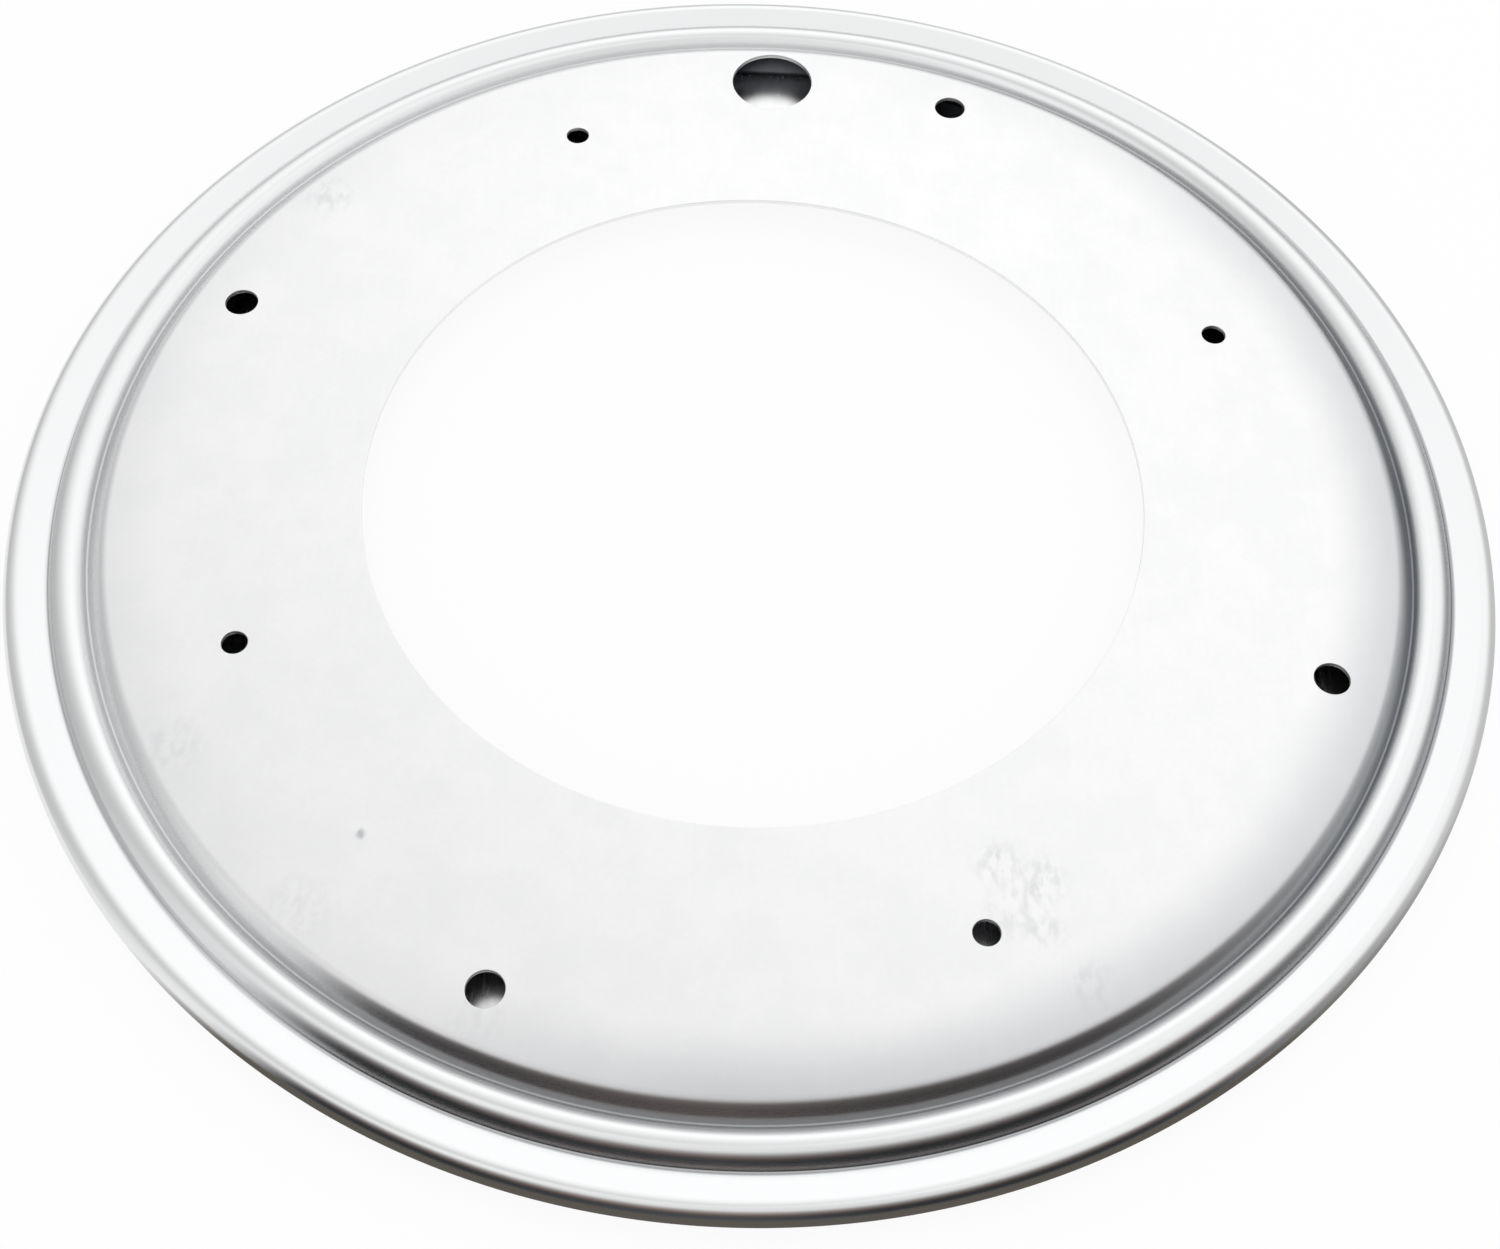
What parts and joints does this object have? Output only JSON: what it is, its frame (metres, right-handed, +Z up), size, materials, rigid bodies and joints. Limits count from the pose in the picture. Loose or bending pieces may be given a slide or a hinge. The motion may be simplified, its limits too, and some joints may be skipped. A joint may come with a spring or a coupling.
{
  "type": "lazy susan bearing",
  "caption": "Flat round turntable bearing: two pressed zinc-plated steel rings turning on a closed ring of loose balls, with screw holes, an access hole and a wide open centre.",
  "frame": {"origin": "on the turning axis, level with the underside of the lower ring", "axes": "+Z up along the turning axis; the access hole of the upper ring lies on +Y"},
  "size_m": [0.3048, 0.3048, 0.0079],
  "materials": {
    "zinc_plate": "satin zinc plating with faint mottling",
    "ball_steel": "polished bearing steel"
  },
  "bodies": {
    "base": {"lower_plate": "zinc_plate"},
    "turntable": {"upper_plate": "zinc_plate"},
    "ball_row": {"ball_01": "ball_steel", "ball_02": "ball_steel", "ball_03": "ball_steel", "ball_04": "ball_steel", "ball_05": "ball_steel", "ball_06": "ball_steel", "ball_07": "ball_steel", "ball_08": "ball_steel", "ball_09": "ball_steel", "ball_10": "ball_steel", "ball_11": "ball_steel", "ball_12": "ball_steel", "ball_13": "ball_steel", "ball_14": "ball_steel", "ball_15": "ball_steel", "ball_16": "ball_steel", "ball_17": "ball_steel", "ball_18": "ball_steel", "ball_19": "ball_steel", "ball_20": "ball_steel", "ball_21": "ball_steel", "ball_22": "ball_steel", "ball_23": "ball_steel", "ball_24": "ball_steel", "ball_25": "ball_steel", "ball_26": "ball_steel", "ball_27": "ball_steel", "ball_28": "ball_steel", "ball_29": "ball_steel", "ball_30": "ball_steel", "ball_31": "ball_steel", "ball_32": "ball_steel", "ball_33": "ball_steel", "ball_34": "ball_steel", "ball_35": "ball_steel", "ball_36": "ball_steel", "ball_37": "ball_steel", "ball_38": "ball_steel", "ball_39": "ball_steel", "ball_40": "ball_steel", "ball_41": "ball_steel", "ball_42": "ball_steel", "ball_43": "ball_steel", "ball_44": "ball_steel", "ball_45": "ball_steel", "ball_46": "ball_steel", "ball_47": "ball_steel", "ball_48": "ball_steel", "ball_49": "ball_steel", "ball_50": "ball_steel", "ball_51": "ball_steel", "ball_52": "ball_steel", "ball_53": "ball_steel", "ball_54": "ball_steel"}
  },
  "joints": [
    {"name": "turn", "type": "hinge", "parent": "base", "child": "turntable", "pos_m": [0, 0, 0.00397], "axis": [0, 0, 1], "continuous": true},
    {"name": "ball_orbit", "type": "hinge", "parent": "base", "child": "ball_row", "pos_m": [0, 0, 0.00397], "axis": [0, 0, 1], "continuous": true}
  ],
  "couplings": [
    {"joint": "ball_orbit", "follows": "turn", "ratio": 0.5}
  ]
}
